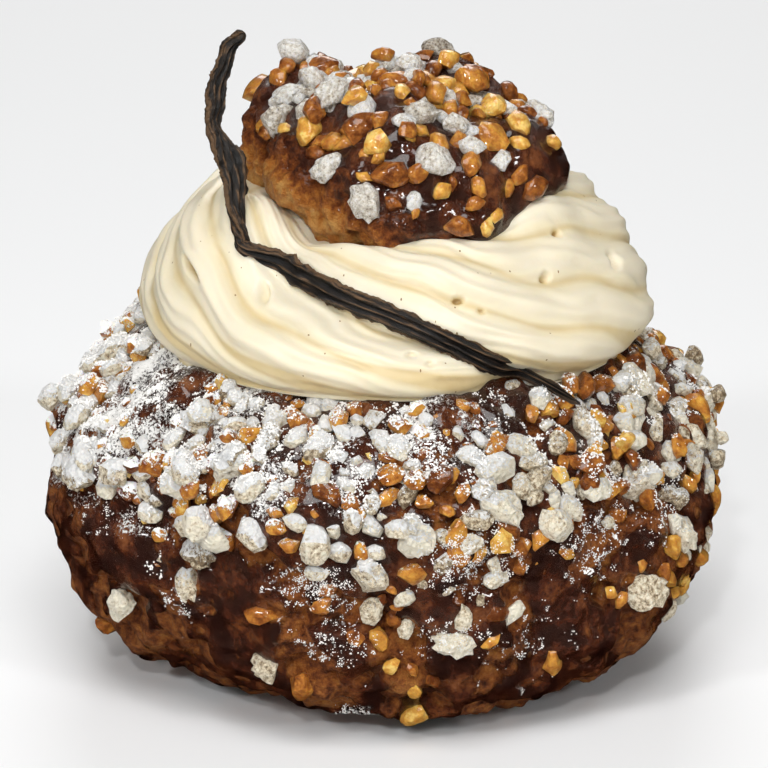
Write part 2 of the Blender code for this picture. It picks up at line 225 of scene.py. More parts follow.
def bun_skin(angle, run):
    """A point of the crust. Run is 0 at the foot's rim, where its lumps fade out, and 1 on top."""
    radius, height = through(BUN_OUTLINE, run)
    point = Vector((radius * math.cos(angle), radius * math.sin(angle), height))
    away = (point - Vector((0, 0, BUN_BELLY_HEIGHT))).normalized()
    return point + away * lumps(point, BUN_LUMPS) * min(1.0, height / BUN_LUMPS_FULL_ABOVE)


def ball(name, segments, rings):
    """A fine smooth ball, and each vertex's angle round it and share of the way up."""
    bpy.ops.object.select_all(action="DESELECT")
    bpy.ops.mesh.primitive_uv_sphere_add(segments=segments, ring_count=rings, radius=1.0)
    bpy.ops.object.shade_smooth()
    made = bpy.context.object
    made.name = name
    finer = made.modifiers.new("finer", "SUBSURF")
    finer.subdivision_type = "SIMPLE"
    finer.levels = finer.render_levels = BALL_FINENESS
    bpy.ops.object.modifier_apply(modifier=finer.name)
    ways = [v.co.normalized() for v in made.data.vertices]
    return made, [(math.atan2(way.y, way.x), 0.5 + math.asin(way.z) / math.pi) for way in ways]


def move_vertices(piece, points):
    """Puts each vertex at its new point."""
    piece.data.vertices.foreach_set("co", [c for point in points for c in point])
    piece.data.update()


def push_out(piece, heights):
    """Moves each vertex along its normal."""
    pairs = zip(piece.data.vertices, heights)
    move_vertices(piece, [vertex.co + vertex.normal * height for vertex, height in pairs])


def note(piece, name, values):
    """Keeps a value for each vertex, for the material to read."""
    piece.data.attributes.new(name, "FLOAT", "POINT").data.foreach_set("value", list(values))


def noted(tree, name):
    """The value that was kept under this name."""
    return node(tree, "Attribute", {"attribute_name": name}).outputs["Fac"]


draw = random.Random(41)
tongues = [  # angle, height of the end, and width
    (number * GOLDEN_ANGLE, draw.uniform(*TONGUE_ENDS), draw.uniform(*TONGUE_WIDTHS))
    for number in range(TONGUES)
]


def glaze_cover(point):
    """From 0 on bare crust to 1 well inside the caramel."""
    cover = (point.z - GLAZED_FROM) / (GLAZED_TO - GLAZED_FROM) + lumps(point, GLAZE_PATCHES)
    radius, turn = math.hypot(point.x, point.y), math.atan2(point.y, point.x)
    down = (GLAZED_TO - point.z) / GLAZED_TO
    for middle, end, width in tongues:
        across = abs((turn - middle - TONGUE_SLANT * down + math.pi) % math.tau - math.pi) * radius
        if across < 2 * width and point.z > end:
            half = width * (1 + TONGUE_SWELL * math.sin(TONGUE_SWELLS * down + middle))
            ending = smooth(point.z, end, end + 2 * GLAZE_EDGE)
            cover += TONGUE_COVER * smooth(half - across, 0, GLAZE_EDGE) * ending
    return smooth(cover, *GLAZE_COVER_EDGE)


def pits(point, spacing, reach):
    """1 in the middle of a small round pit and 0 outside the pits. Half of the places have none."""
    distances, middles = noise.voronoi(point / spacing)
    chosen = noise.cell(middles[0] * CRUST_PIT_LOTS) > 0.5
    return max(0.0, 1 - distances[0] / reach) ** CRUST_PIT_ROUNDNESS if chosen else 0.0


bun, places = ball("glazed_bun", BUN_SEGMENTS, BUN_RINGS)
foot_rim = bun_skin(0.0, 0.0).x
bun_points = []
for angle, share in places:
    if share < BUN_FOOT_SHARE:
        radius = foot_rim * share / BUN_FOOT_SHARE
        bun_points.append(Vector((radius * math.cos(angle), radius * math.sin(angle), 0)))
    else:
        bun_points.append(bun_skin(angle, (share - BUN_FOOT_SHARE) / (1 - BUN_FOOT_SHARE)))
move_vertices(bun, bun_points)
covers, hollows, heights = [], [], []
for point in bun_points:
    cover = glaze_cover(point)
    unfilled = 1 - GLAZE_FILLS * cover
    hollow = pits(point, CRUST_PIT_SPACING, CRUST_PIT_REACH) * unfilled
    rough = lumps(point, CRUST_CRAGS) * unfilled - CRUST_PIT_DEPTH * hollow
    covers.append(cover)
    hollows.append(hollow)
    heights.append((rough + GLAZE_THICKNESS * cover) * smooth(point.z, 0.0, CRUST_FULL_ABOVE))
push_out(bun, heights)
note(bun, "glaze", covers)
note(bun, "hollow", hollows)
note(bun, "paler", [0.0] * len(covers))

# Icing sugar lies on what faces up. This group gives its mask, which each finish under it mixes in.
DUST_DRIFTS = 0.0060  # the width of its drifts
DUST_SPECKS = 0.00036
DUST_LEFTWARD = 10.0  # how much more falls for each metre to the left
DUST_FACING = (-0.25, 0.75)  # how far a surface faces up where it starts, and where it lies in full
DUST_FADE = (-0.004, 0.008)  # the same for heights, above the lowest
DUST_EDGE = (0.70, 0.77)
PATCH_CONTRAST = 1.6

dusting = bpy.data.node_groups.new("icing_sugar_dust", "ShaderNodeTree")
dusting.interface.new_socket("Amount", in_out="INPUT", socket_type="NodeSocketFloat")
dusting.interface.new_socket("Lowest", in_out="INPUT", socket_type="NodeSocketFloat")
dusting.interface.new_socket("Mask", in_out="OUTPUT", socket_type="NodeSocketFloat")
dust_in = dusting.nodes.new("NodeGroupInput")
dust_out = dusting.nodes.new("NodeGroupOutput")


def maths(tree, operation, *values):
    """Arithmetic on two values, as a node."""
    return node(tree, "Math", {"operation": operation}, dict(enumerate(values))).outputs[0]


def plus(tree, first, second):
    return maths(tree, "ADD", first, second)


def minus(tree, first, second):
    return maths(tree, "SUBTRACT", first, second)


def times(tree, first, second):
    return maths(tree, "MULTIPLY", first, second)


def patchy(tree, where, size, detail=4.0, roughness=0.55):
    """Cloudy noise about zero, which makes edges ragged and colours uneven."""
    cloud = speckle(tree, where, size, detail, roughness)
    return times(tree, minus(tree, cloud, 0.5), PATCH_CONTRAST)


def ease(tree, value, low, high):
    """0 below `low`, 1 above `high`, and an easy slope between them, as a node."""
    span = {"Value": value, "From Min": low, "From Max": high}
    return node(tree, "MapRange", {"interpolation_type": "SMOOTHSTEP"}, span).outputs["Result"]


def blend(tree, share, first, second):
    """A mix of two colours."""
    return node(tree, "Mix", {"data_type": "RGBA"}, {0: share, 6: first, 7: second}).outputs[2]


def relief_on(tree, shader, height, distance, strength=1.0):
    """Relief too fine for the mesh. Distance is the metres that a height of 1 stands for."""
    settings = {"Strength": strength, "Distance": distance, "Height": height}
    feed(tree, shader["Normal"], node(tree, "Bump", None, settings).outputs["Normal"])


where = on_object(dusting)
place = node(dusting, "SeparateXYZ", None, {0: where})
normal = node(dusting, "NewGeometry").outputs["Normal"]
faces_up = node(dusting, "SeparateXYZ", None, {0: normal}).outputs["Z"]
amount = plus(dusting, dust_in.outputs["Amount"], patchy(dusting, where, DUST_DRIFTS, 2.0))
amount = plus(dusting, amount, times(dusting, place.outputs["X"], -DUST_LEFTWARD))
amount = times(dusting, amount, ease(dusting, faces_up, *DUST_FACING))
above = minus(dusting, place.outputs["Z"], dust_in.outputs["Lowest"])
amount = times(dusting, amount, ease(dusting, above, *DUST_FADE))
specks_here = speckle(dusting, where, DUST_SPECKS, 4.0, 0.8)
specks_here = plus(dusting, specks_here, times(dusting, amount, 0.5))
dusting.links.new(ease(dusting, specks_here, *DUST_EDGE), dust_out.inputs["Mask"])


def dust(tree, amount, lowest):
    """Where icing sugar lies, from 0 to 1: how much falls, and down to which height."""
    made = node(tree, "Group", {"node_tree": dusting}, {"Amount": amount, "Lowest": lowest})
    return made.outputs["Mask"]


ICING_WHITE = (0.94, 0.93, 0.905)
# Painted shade: the next colour is what the crust's pits, on the bun and the cap, are darkened
# towards.
PIT_PAINTED_SHADE_COLOUR = (0.020, 0.006, 0.003)
CARAMEL_DARK = (0.020, 0.0045, 0.0028)
CARAMEL = (0.070, 0.0165, 0.0070)
CARAMEL_THIN = (0.26, 0.085, 0.026)
GLAZE_SHINE = {"Coat Roughness": 0.08, "Coat IOR": 1.5, "Specular IOR Level": 0.42}
GLAZE_TINT = (1.0, 0.76, 0.62)  # of what mirrors in it
CRUST_MOTTLES = ((0.0036, 6.0, 0.40), (0.0010, 5.0, 0.60))  # width, detail and share
SYRUP_CLOUDS = 0.0038
GLAZE_RAGGED = 0.0016
GLAZED_EASE = (0.10, 0.90)
# Painted shade: how strongly the crust's pits are darkened.
HOLLOWS_PAINTED_SHADE = 0.85
CRUST_ROUGHNESS, GLAZE_SMOOTHER = 0.50, 0.36
CRUST_COAT, GLAZE_COAT = 0.15, 0.60
CRUST_GRAIN, CRUST_GRAIN_HEIGHT = 0.0009, 0.0010


def glazed_crust(name, dust_amount, dust_lowest, crust_stops):
    """Baked crust with caramel on it, by the mesh's notes on what is glazed, hollow and paler."""
    made, tree, shader = new_finish(name, {**GLAZE_SHINE, "Specular Tint": GLAZE_TINT})
    where = on_object(tree)
    mottle = noted(tree, "paler")
    for width, detail, share in CRUST_MOTTLES:
        mottle = plus(tree, mottle, times(tree, speckle(tree, where, width, detail, 0.7), share))
    crust = colours_by(tree, mottle, *crust_stops)
    syrup = speckle(tree, where, SYRUP_CLOUDS, 6.0, 0.65)
    caramel = colours_by(tree, syrup, (0.44, CARAMEL_DARK), (0.55, CARAMEL), (0.70, CARAMEL_THIN))
    ragged = patchy(tree, where, GLAZE_RAGGED)
    glazed = ease(tree, plus(tree, noted(tree, "glaze"), ragged), *GLAZED_EASE)
    colour = blend(tree, glazed, crust, caramel)
    # Painted shade: the pits of the crust are darkened, by the hollow note.
    colour = blend(tree, times(tree, noted(tree, "hollow"), HOLLOWS_PAINTED_SHADE), colour, PIT_PAINTED_SHADE_COLOUR)
    white = dust(tree, dust_amount, dust_lowest)
    feed(tree, shader["Base Color"], blend(tree, white, colour, ICING_WHITE))
    gloss = minus(tree, CRUST_ROUGHNESS, times(tree, glazed, GLAZE_SMOOTHER))
    feed(tree, shader["Roughness"], maths(tree, "MAXIMUM", gloss, times(tree, white, 0.9)))
    coat = plus(tree, CRUST_COAT, times(tree, glazed, GLAZE_COAT))
    feed(tree, shader["Coat Weight"], times(tree, coat, minus(tree, 1.0, white)))
    fine = times(tree, speckle(tree, where, CRUST_GRAIN, 5.0, 0.70), minus(tree, 1.8, glazed))
    relief_on(tree, shader, plus(tree, fine, times(tree, white, 0.35)), CRUST_GRAIN_HEIGHT)
    return made


BUN_DUST, BUN_DUST_LOWEST = 0.28, 0.019
BUN_CRUST = (
    (0.37, (0.034, 0.008, 0.004)), (0.45, (0.160, 0.040, 0.010)), (0.53, (0.32, 0.096, 0.018)),
    (0.64, (0.50, 0.200, 0.042)),
)  # fmt: skip
bun.data.materials.append(glazed_crust("glazed_bun_crust", BUN_DUST, BUN_DUST_LOWEST, BUN_CRUST))
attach(bun, "root")
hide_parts("base_choux")


# --- Pearl sugar and chopped nuts on the bun ---
# Rough white grains of compressed sugar and roasted, chopped nuts, pressed into the caramel while
# it is soft. They crowd in two layers on the shoulder, round the cream, and thin out down the
# sides.
SUGAR_SIZE = (0.0044, 0.0034, 0.0028)  # a large grain: length, width and thickness
NUT_SIZE = (0.0040, 0.0029, 0.0024)
NUT_SHARE = 0.45
SUNK = 0.35  # how far a piece's middle is above the crust, in shares of its half thickness
GRAIN_FORMS = 12  # different forms of each kind and size
GRAIN_SCALES, GRAIN_LEAN = (0.8, 1.2), 0.5
GRAIN_LUMPS = (0.9, 0.25)  # width and height, for a grain of unit radius
GRAIN_CRAGS, GRAIN_JITTER = 0.34, 0.3
CUT_DEPTHS = (0.55, 0.82)  # how far from its middle a grain is cut off
SUGAR_SEED, SUGAR_CUTS, SUGAR_ROUGH = 100, 2, (0.36, 0.24)  # rough: of a large and a small grain
NUT_SEED, NUT_CUTS, NUT_ROUGH = 200, 7, (0.10, 0.10)
BUN_SITES, BUN_GRAINS, BUN_SMALL, BUN_SECOND = 1000, 9000, 20000, 40000  # their first seeds
BUN_PIECES = 116  # places for large pieces
BUN_TOPPED_FROM, BUN_TOPPED_TO = 0.12, 0.64  # shares of the bun's outline
BUN_CROWDING = 0.85
BUN_STRAY_ROUND, BUN_STRAY_UP = 0.3, 0.03  # how far they lie off an even spread
SMALL_PIECES = 3800  # tries to place a smaller piece between the large ones
SMALL_RUNS = (0.08, 0.66)
SMALL_CROWDING = 2.6  # 1 spreads them evenly up the bun, more crowds them up to the cream
SMALL_MORE_UP, SMALL_FEWER = 2.4, 0.27  # how the chance of one grows with the run
SMALL_CLUSTERS, SMALL_CLUSTERED = 0.008, 1.4  # the width and strength of the groups they lie in
BARE_FLANK = 1.5  # how much rarer they are low down on the left
BARE_FLANK_RUNS = (0.38, 0.50)
SMALL_SIZES = (0.42, 0.82)  # of a large piece
SMALL_NUT_SHARE = 0.60
SMALL_APART = 0.54  # how close two pieces may come, in shares of their radii together
SECOND_LAYER = 300
SECOND_LAYER_RUNS = (0.42, 0.66)
SECOND_SIZES, SECOND_NUT_SHARE = (0.6, 0.95), 0.55
SMALL_MAY_SINK, SECOND_MAY_SINK = 0.0006, 0.0008  # how much closer they come to the cream


def grain_form(name, seed, cuts, rough, fineness):
    """A grain of about unit radius: a rough ball with flat faces where it broke or was chopped."""
    draw = random.Random(seed)
    bpy.ops.object.select_all(action="DESELECT")
    bpy.ops.mesh.primitive_ico_sphere_add(subdivisions=fineness, radius=1.0)
    made = bpy.context.object
    made.name = name
    for vert in made.data.vertices:
        swell = lumps(vert.co, ((*GRAIN_LUMPS, seed), (GRAIN_CRAGS, rough, seed)))
        vert.co *= 1 + draw.uniform(-GRAIN_JITTER, GRAIN_JITTER) * rough + swell
    bpy.ops.object.mode_set(mode="EDIT")
    for _ in range(cuts):
        facing = Vector((draw.gauss(0, 1), draw.gauss(0, 1), draw.gauss(0, 0.7))).normalized()
        bpy.ops.mesh.select_all(action="SELECT")
        bpy.ops.mesh.bisect(
            plane_co=facing * draw.uniform(*CUT_DEPTHS),
            plane_no=facing,
            use_fill=True,
            clear_outer=True,
        )
    bpy.ops.mesh.select_all(action="SELECT")
    bpy.ops.mesh.remove_doubles(threshold=0.05)
    bpy.ops.mesh.quads_convert_to_tris()
    bpy.ops.mesh.normals_make_consistent(inside=False)
    bpy.ops.object.mode_set(mode="OBJECT")
    corners = np.array([v.co for v in made.data.vertices])
    faces = np.array([p.vertices for p in made.data.polygons])
    bpy.data.objects.remove(made)
    return corners, faces


def placed(shape, place):
    """The corners of a form at its place."""
    turn = np.array(place)
    return shape @ turn[:3, :3].T + turn[:3, 3]


def strewn(name, forms, grains, finish, sharp_angle=None):
    """One piece of many grains. Each grain is (number of its form, matrix, tone)."""
    corners, faces, tones, count = [], [], [], 0
    for form, place, tone in grains:
        shape, sides = forms[form]
        corners.append(placed(shape, place))
        faces.append(sides + count)
        tones += [tone] * len(shape)
        count += len(shape)
    mesh = bpy.data.meshes.new(name)
    mesh.from_pydata(np.concatenate(corners), [], np.concatenate(faces))
    made = bpy.data.objects.new(name, mesh)
    bpy.context.scene.collection.objects.link(made)
    note(made, "tone", tones)
    mesh.materials.append(finish)
    bpy.ops.object.select_all(action="DESELECT")
    made.select_set(True)
    bpy.context.view_layer.objects.active = made
    if sharp_angle:
        bpy.ops.object.shade_smooth_by_angle(angle=math.radians(sharp_angle))
    return made


def bun_site(number):
    """(angle, run) of a large piece on the bun. They are closest together by the cream."""
    draw = random.Random(BUN_SITES + number)
    share = (number + 0.5) / BUN_PIECES
    crowded = share * (2 - BUN_CROWDING * share) / (2 - BUN_CROWDING)
    run = BUN_TOPPED_FROM + (BUN_TOPPED_TO - BUN_TOPPED_FROM) * crowded
    angle = number * GOLDEN_ANGLE + draw.uniform(-BUN_STRAY_ROUND, BUN_STRAY_ROUND)
    return angle, run + draw.uniform(-BUN_STRAY_UP, BUN_STRAY_UP)


def standing(skin, angle, share, step=0.01):
    """(point, outward normal) of a skin."""
    round_it = skin(angle + step, share) - skin(angle - step, share)
    up_it = skin(angle, share + step) - skin(angle, share - step)
    return skin(angle, share), round_it.cross(up_it).normalized()


def set_grain(draw, point, normal, size_share=None, nut_share=NUT_SHARE):
    """A grain pressed into the glaze: (is it a nut, form, matrix, tone, half length)."""
    is_nut = draw.random() < nut_share
    scale = draw.uniform(*GRAIN_SCALES) * (size_share or 1.0)
    half = [scale * size / 2 for size in (NUT_SIZE if is_nut else SUGAR_SIZE)]
    spin = Matrix.Rotation(draw.uniform(0, math.tau), 4, "Z")
    lean = Matrix.Rotation(draw.uniform(-GRAIN_LEAN, GRAIN_LEAN), 4, "X")
    upright = normal.to_track_quat("Z", "Y").to_matrix().to_4x4()
    stand = Matrix.Translation(point + normal * half[2] * SUNK)
    place = stand @ upright @ spin @ lean @ Matrix.Diagonal((*half, 1.0))
    form = draw.randrange(GRAIN_FORMS) + (GRAIN_FORMS if size_share else 0)
    return is_nut, form, place, (draw.random() + draw.random()) / 2, half[0]


def grain_forms(name, seed, cuts, rough):
    """Fine forms for the large grains, and after them plainer ones for the small grains."""
    return [
        grain_form(name, seed + n, cuts, rough[n // GRAIN_FORMS], 3 - n // GRAIN_FORMS)
        for n in range(2 * GRAIN_FORMS)
    ]


sugar_forms = grain_forms("sugar_form", SUGAR_SEED, SUGAR_CUTS, SUGAR_ROUGH)
nut_forms = grain_forms("nut_form", NUT_SEED, NUT_CUTS, NUT_ROUGH)


def solid_tree(node_name):
    """One of the solids, for finding what is close to it."""
    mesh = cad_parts[node_name].data
    return BVHTree.FromPolygons([v.co for v in mesh.vertices], [p.vertices for p in mesh.polygons])


cream_solid, pod_solid = solid_tree("cream"), solid_tree("vanilla_pod")
MAY_TOUCH = 0.0003  # the least room between a large grain and the cream or the pod


def keep(grain, grains, may_sink=0.0, apart=0.0):
    """Adds a grain to the others if it stays out of the cream and the pod, and apart from them."""
    is_nut, form, place, _, reach = grain
    for other in grains:
        if (place.translation - other[2].translation).length < apart * (reach + other[4]):
            return
    for corner in (nut_forms if is_nut else sugar_forms)[form][0]:
        point = place @ Vector(corner)
        for solid in (cream_solid, pod_solid):
            near, normal, _, _ = solid.find_nearest(point)
            if (point - near).dot(normal) < MAY_TOUCH - may_sink:
                return
    grains.append(grain)


on_bun = []
for number in range(BUN_PIECES):
    stood = standing(bun_skin, *bun_site(number))
    keep(set_grain(random.Random(BUN_GRAINS + number), *stood), on_bun)
for number in range(SMALL_PIECES):
    draw = random.Random(BUN_SMALL + number)
    run = SMALL_RUNS[0] + (SMALL_RUNS[1] - SMALL_RUNS[0]) * draw.betavariate(SMALL_CROWDING, 1.0)
    point, normal = standing(bun_skin, draw.uniform(0, math.tau), run)
    bare = BARE_FLANK * max(0, -normal.x) * (1 - smooth(run, *BARE_FLANK_RUNS))
    clustered = SMALL_CLUSTERED * noise.noise(point / SMALL_CLUSTERS)
    if draw.random() > SMALL_MORE_UP * run - SMALL_FEWER - bare + clustered:
        continue
    grain = set_grain(draw, point, normal, draw.uniform(*SMALL_SIZES), SMALL_NUT_SHARE)
    keep(grain, on_bun, SMALL_MAY_SINK, SMALL_APART)


def landed(core, grains):
    """The surface of a core and of all the grains on it, for what lies on top of them."""
    corners = [np.array([v.co for v in core.data.vertices])]
    faces = [tuple(p.vertices) for p in core.data.polygons]
    count = len(corners[0])
    for is_nut, form, place, _, _ in grains:
        shape, sides = (nut_forms if is_nut else sugar_forms)[form]
        corners.append(placed(shape, place))
        faces += [tuple(side) for side in sides + count]
        count += len(shape)
    return BVHTree.FromPolygons(np.concatenate(corners).tolist(), faces)


first_layer = landed(bun, on_bun)
for number in range(SECOND_LAYER):
    draw = random.Random(BUN_SECOND + number)
    point, normal = standing(bun_skin, draw.uniform(0, math.tau), draw.uniform(*SECOND_LAYER_RUNS))
    hit, _, _, _ = first_layer.ray_cast(point + normal * 0.02, -normal)
    grain = set_grain(draw, hit, normal, draw.uniform(*SECOND_SIZES), SECOND_NUT_SHARE)
    keep(grain, on_bun, SECOND_MAY_SINK)


CRYSTALS, BROKEN_CRYSTALS, CRYSTAL_HEIGHT = 0.00050, 0.00055, 0.0006
SUGAR_TONES = 0.30  # how much greyer or whiter a grain may be
TOPPINGS_DUSTED_ABOVE = 0.016


def sugar_finish_of(name, constant, stops, smoothest, dust_amount):
    """Rough pressed crystals, a little see-through, with dark specks. Some grains are greyer."""
    made, tree, shader = new_finish(name, constant)
    where = on_object(tree)
    crystals = speckle(tree, where, CRYSTALS, 4.0, 0.80)
    shade = times(tree, minus(tree, noted(tree, "tone"), 0.5), SUGAR_TONES)
    colour = colours_by(tree, plus(tree, crystals, shade), *stops)
    white = dust(tree, dust_amount, TOPPINGS_DUSTED_ABOVE)
    feed(tree, shader["Base Color"], blend(tree, white, colour, ICING_WHITE))
    feed(tree, shader["Roughness"], plus(tree, smoothest, times(tree, crystals, 0.5)))
    cells = {"Vector": where, "Scale": 1 / BROKEN_CRYSTALS}
    broken = node(tree, "TexVoronoi", {"feature": "F1"}, cells).outputs["Distance"]
    relief = plus(tree, times(tree, broken, 0.9), crystals)
    relief_on(tree, shader, plus(tree, relief, times(tree, white, 0.4)), CRYSTAL_HEIGHT)
    return made


dry_sugar = sugar_finish_of(
    "pearl_sugar_dry",
    {
        "Subsurface Weight": 0.35,
        "Subsurface Radius": (0.0010, 0.0009, 0.0008),
        "Subsurface Scale": 1.0,
    },
    ((0.34, (0.22, 0.150, 0.08)), (0.45, (0.71, 0.590, 0.41)), (0.55, (0.98, 0.885, 0.71))),
    smoothest=0.22,
    dust_amount=0.72,
)
NUT_PATCHES, NUT_GRAIN, NUT_GRAIN_HEIGHT = 0.0011, 0.0008, 0.0005
NUT_ROUGHNESS, NUT_COAT = 0.32, 0.8


def nut_finish_of(name, dust_amount):
    """Roasted nut under a thin coat of caramel: pale yellow to dark amber."""
    made, tree, shader = new_finish(
        name,
        {
            "Subsurface Weight": 0.25,
            "Subsurface Radius": (0.0012, 0.0006, 0.0002),
            "Subsurface Scale": 1.0,
            "Coat Roughness": 0.07,
            "Specular IOR Level": 0.3,
            "Specular Tint": (1.0, 0.6, 0.3),
        },
    )
    where = on_object(tree)
    patches = patchy(tree, where, NUT_PATCHES, 5.0, 0.65)
    colour = colours_by(
        tree,
        plus(tree, noted(tree, "tone"), patches),
        (0.08, (0.11, 0.028, 0.008)),
        (0.34, (0.28, 0.090, 0.018)),
        (0.54, (0.45, 0.180, 0.032)),
        (0.80, (0.62, 0.32, 0.055)),
        (1.00, (0.80, 0.56, 0.17)),
    )
    white = dust(tree, dust_amount, TOPPINGS_DUSTED_ABOVE)
    feed(tree, shader["Base Color"], blend(tree, white, colour, ICING_WHITE))
    feed(tree, shader["Roughness"], plus(tree, NUT_ROUGHNESS, times(tree, white, 0.5)))
    feed(tree, shader["Coat Weight"], times(tree, minus(tree, 1.0, white), NUT_COAT))
    relief = plus(tree, speckle(tree, where, NUT_GRAIN), times(tree, white, 0.5))
    relief_on(tree, shader, relief, NUT_GRAIN_HEIGHT, 0.8)
    return made


glazed_nuts = nut_finish_of("chopped_nuts", dust_amount=0.38)


def topping_pieces(place_name, grains, node_name, sugar, nuts, sharp_angle):
    """The sugar and the nuts of one place, as one piece each."""
    for slot, is_nut, forms, finish in (
        ("pearl_sugar", False, sugar_forms, sugar),
        ("chopped_nuts", True, nut_forms, nuts),
    ):
        chosen = [grain[1:4] for grain in grains if grain[0] == is_nut]
        piece = strewn(f"{slot}_on_{place_name}", forms, chosen, finish, sharp_angle)
        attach(piece, "root")
        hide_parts(node_name)


topping_pieces("bun", on_bun, "base_choux", dry_sugar, glazed_nuts, sharp_angle=38)


# --- Icing sugar on the bun ---
# Fine powder, sifted over the bun from above before the cream was piped. It caps the grains,
# heaviest at the left, and lies in loose specks on the caramel between them. A few patches stick
# to the side.
SIFTED = 17000  # how many places the powder may fall on, most of them outside the drifts
SIFTED_FROM, SIFTED_TO = 0.0200, 0.0362  # radii
SIFTED_SHARE, SIFTED_LEAST = 0.30, 0.04  # of these places, on the whole and outside the drifts
SIFTED_LEFTWARD, SIFTED_FRONTWARD = 9, 0.3  # how much more falls there, and the front's part of it
SIFTED_MIDDLE = 0.008  # how far left of the middle more begins to fall
SPECK_SIZES = (0.00004, 0.00011)
LOWEST_SPECK = 0.0015
CLUMP_COUNTS = (1, 1, 2, 3, 6, 14)
CLUMP_SPREAD = 0.00018
FLUFF, ICING_SHADE = 0.0006, (0.87, 0.86, 0.835)
ICING_SHINE = {"Roughness": 0.95, "Specular IOR Level": 0.1}
CLUMP_GROWTH = 0.6  # how much larger the specks may be in a drift
DRIFT_WIDTH, DRIFT_DEPTH = 0.0050, 1.5
PATCH_SPREAD = 0.45  # how its specks scatter, in half widths
SIDE_RADIUS, SIDE_START = 0.035, 0.06  # of the bun's side, and of where the specks fly from
SIDE_PATCHES = (  # angle, height, half width, half height and number of specks
    (258, 0.0195, 0.0050, 0.0030, 170), (264, 0.0045, 0.0030, 0.0016, 60),
    (262, 0.0130, 0.0050, 0.0022, 80), (281, 0.0140, 0.0040, 0.0020, 70),
    (232, 0.0145, 0.0034, 0.0028, 30), (285, 0.0230, 0.0060, 0.0040, 260),
    (215, 0.0230, 0.0050, 0.0040, 50), (120, 0.0200, 0.0060, 0.0040, 60),
    (308, 0.0215, 0.0060, 0.0050, 190), (296, 0.0120, 0.0060, 0.0040, 60),
    (325, 0.0240, 0.0060, 0.0050, 120),
)  # fmt: skip

bpy.ops.object.select_all(action="DESELECT")
bpy.ops.mesh.primitive_cone_add(
    vertices=4, radius1=1.0, radius2=0.0, depth=1.0, end_fill_type="TRIFAN"
)
speck = bpy.context.object
for vert in speck.data.vertices:
    vert.co.z += 0.5
    if vert.co.length < 0.1:
        vert.co.z = -0.8  # the middle of the cone's base becomes its lower tip
speck_corners = np.array([v.co for v in speck.data.vertices])
speck_faces = np.array([p.vertices for p in speck.data.polygons])
bpy.data.objects.remove(speck)

dusted = landed(bun, on_bun)
draw = random.Random(77)
specks = []


def add_clump(start, way, size=1.0):
    """A little heap of specks where a straight line meets what lies there."""
    for _ in range(draw.choice(CLUMP_COUNTS)):
        off = Vector([draw.gauss(0, CLUMP_SPREAD) for _ in range(3)])
        hit, normal, _, _ = dusted.ray_cast(start + off, way)
        if hit and hit.z > LOWEST_SPECK and cream_solid.find_nearest(hit)[3] > MAY_TOUCH:
            radius = size * draw.uniform(*SPECK_SIZES)
            turn = Matrix.Rotation(draw.uniform(0, math.tau), 4, normal)
            place = Matrix.Translation(hit + normal * radius * 0.4)
            specks.append((0, place @ turn @ Matrix.Diagonal((radius, radius, radius, 1.0)), 0.0))


for _ in range(SIFTED):
    angle = draw.uniform(0, math.tau)
    radius = math.sqrt(draw.uniform(SIFTED_FROM**2, SIFTED_TO**2))
    above = Vector((radius * math.cos(angle), radius * math.sin(angle), 0.08))
    drift = SIFTED_SHARE + DRIFT_DEPTH * noise.noise(above / DRIFT_WIDTH)
    drift += SIFTED_LEFTWARD * (-above.x - SIFTED_FRONTWARD * above.y - SIFTED_MIDDLE)
    if draw.random() < max(SIFTED_LEAST, drift):
        add_clump(above, Vector((0, 0, -1)), 1.0 + min(CLUMP_GROWTH, max(0, drift)))
for degrees, height, half_width, half_height, count in SIDE_PATCHES:
    for _ in range(count):
        angle = math.radians(degrees) + draw.gauss(0, PATCH_SPREAD) * half_width / SIDE_RADIUS
        level = height + draw.gauss(0, PATCH_SPREAD) * half_height
        x, y = math.cos(angle), math.sin(angle)
        add_clump(Vector((SIDE_START * x, SIDE_START * y, level + 0.006)), Vector((-x, -y, -0.25)))

icing, tree, shader = new_finish("icing_sugar_powder", ICING_SHINE)
fluff = speckle(tree, on_object(tree), FLUFF, 3.0)
feed(tree, shader["Base Color"], colours_by(tree, fluff, (0.35, ICING_SHADE), (0.65, ICING_WHITE)))
powder = strewn("icing_sugar_specks", [(speck_corners, speck_faces)], specks, icing)
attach(powder, "root")
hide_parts("base_choux")


# --- The cream ---
# Vanilla whipped cream, piped in one thick turn with a star nozzle. Its rounded ridges fall to the
# right as they go round, bubbles leave small pits, and the pod has been pressed into a deep crease
# across the front.
CREAM_CENTRE_X = 0.0010
CREAM_OUTLINE = (  # radius and height, from under the middle to the hollow under the cap
    (0.0000, 0.0355), (0.0236, 0.0363), (0.0266, 0.0374), (0.0279, 0.0402), (0.0268, 0.0442),
    (0.0246, 0.0483), (0.0217, 0.0521), (0.0184, 0.0541), (0.0155, 0.0535), (0.0120, 0.0524),
    (0.0000, 0.0515),
)  # fmt: skip
CREAM_RIDGED_FROM, CREAM_RIM, CREAM_RIDGED_TO = 0.16, 0.70, 0.86
CREAM_RIDGED_SPAN = CREAM_RIDGED_TO - CREAM_RIDGED_FROM
CREAM_LUMPS = ((0.016, 0.0022, 4.4),)
CREAM_RIM_DIP = 0.0031
CREAM_DIP_SPAN = (214, 240, 306, 334)
CREAM_DIP_HEIGHTS = (0.038, 0.054)
RIDGES, RIDGES_UP = 12, 5.0
RIDGE_HEIGHT, RIDGE_ROUNDNESS = 0.0008, 1.3
RIDGE_WANDER, WANDER_WIDTH = 0.22, 0.011  # how far they stray from an even spread, in ridges
RIDGE_VARIES, VARIES_WIDTH = 0.8, 0.009
FINE_RIDGE_HEIGHT = 0.00012
FINE_RIDGES, FINE_WANDER, FINE_WIDTH = 3, 5, 0.006  # how many to a ridge, and how they stray
CREAM_WAVES = ((0.0090, 0.0004, 2.2), (0.0042, 0.00026, 6.4))
